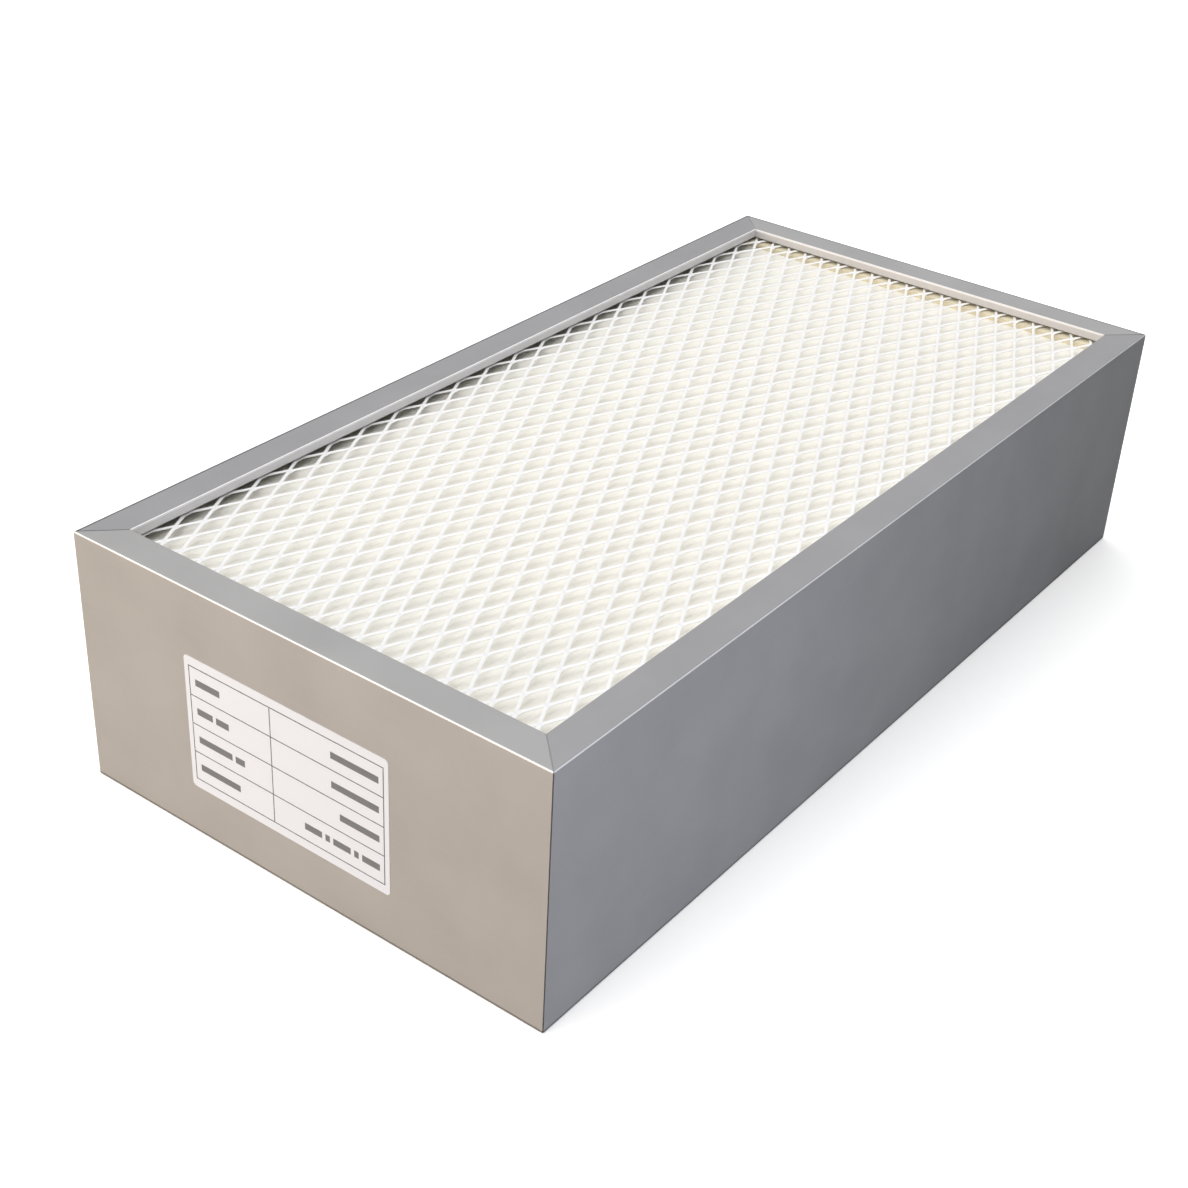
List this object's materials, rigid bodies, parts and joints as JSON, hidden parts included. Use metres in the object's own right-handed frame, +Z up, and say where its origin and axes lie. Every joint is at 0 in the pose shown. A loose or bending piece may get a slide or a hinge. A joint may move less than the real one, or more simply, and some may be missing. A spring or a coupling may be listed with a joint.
{
  "type": "hepa filter panel",
  "caption": "Rectangular high-efficiency filter panel: mitred aluminium frame, folded glass fibre pack, diamond mesh guards on both faces and a blank ruled label.",
  "frame": {"origin": "centre of the base, where the lower flanges rest", "axes": "+Y along the length away from the labelled end, +X across the width, +Z up out of the upper face"},
  "size_m": [0.305, 0.6102, 0.15],
  "materials": {
    "frame": "satin natural anodised extrusion",
    "guard": "white powder coat",
    "media": "matt off-white glass fibre paper",
    "potting": "cream foamed polyurethane with a smooth skin",
    "label": "smooth white adhesive label with a ruled blank table",
    "corner_keys": "plain cast"
  },
  "bodies": {
    "root": {"left_rail": "frame", "right_rail": "frame", "front_rail": "frame", "rear_rail": "frame", "upper_guard": "guard", "lower_guard": "guard", "media_pack": "media", "front_potting": "potting", "rear_potting": "potting", "left_side_bead": "potting", "right_side_bead": "potting", "label": "label", "upper_front_left_key": "corner_keys", "upper_front_right_key": "corner_keys", "upper_rear_left_key": "corner_keys", "upper_rear_right_key": "corner_keys", "lower_front_left_key": "corner_keys", "lower_front_right_key": "corner_keys", "lower_rear_left_key": "corner_keys", "lower_rear_right_key": "corner_keys"}
  },
  "joints": []
}
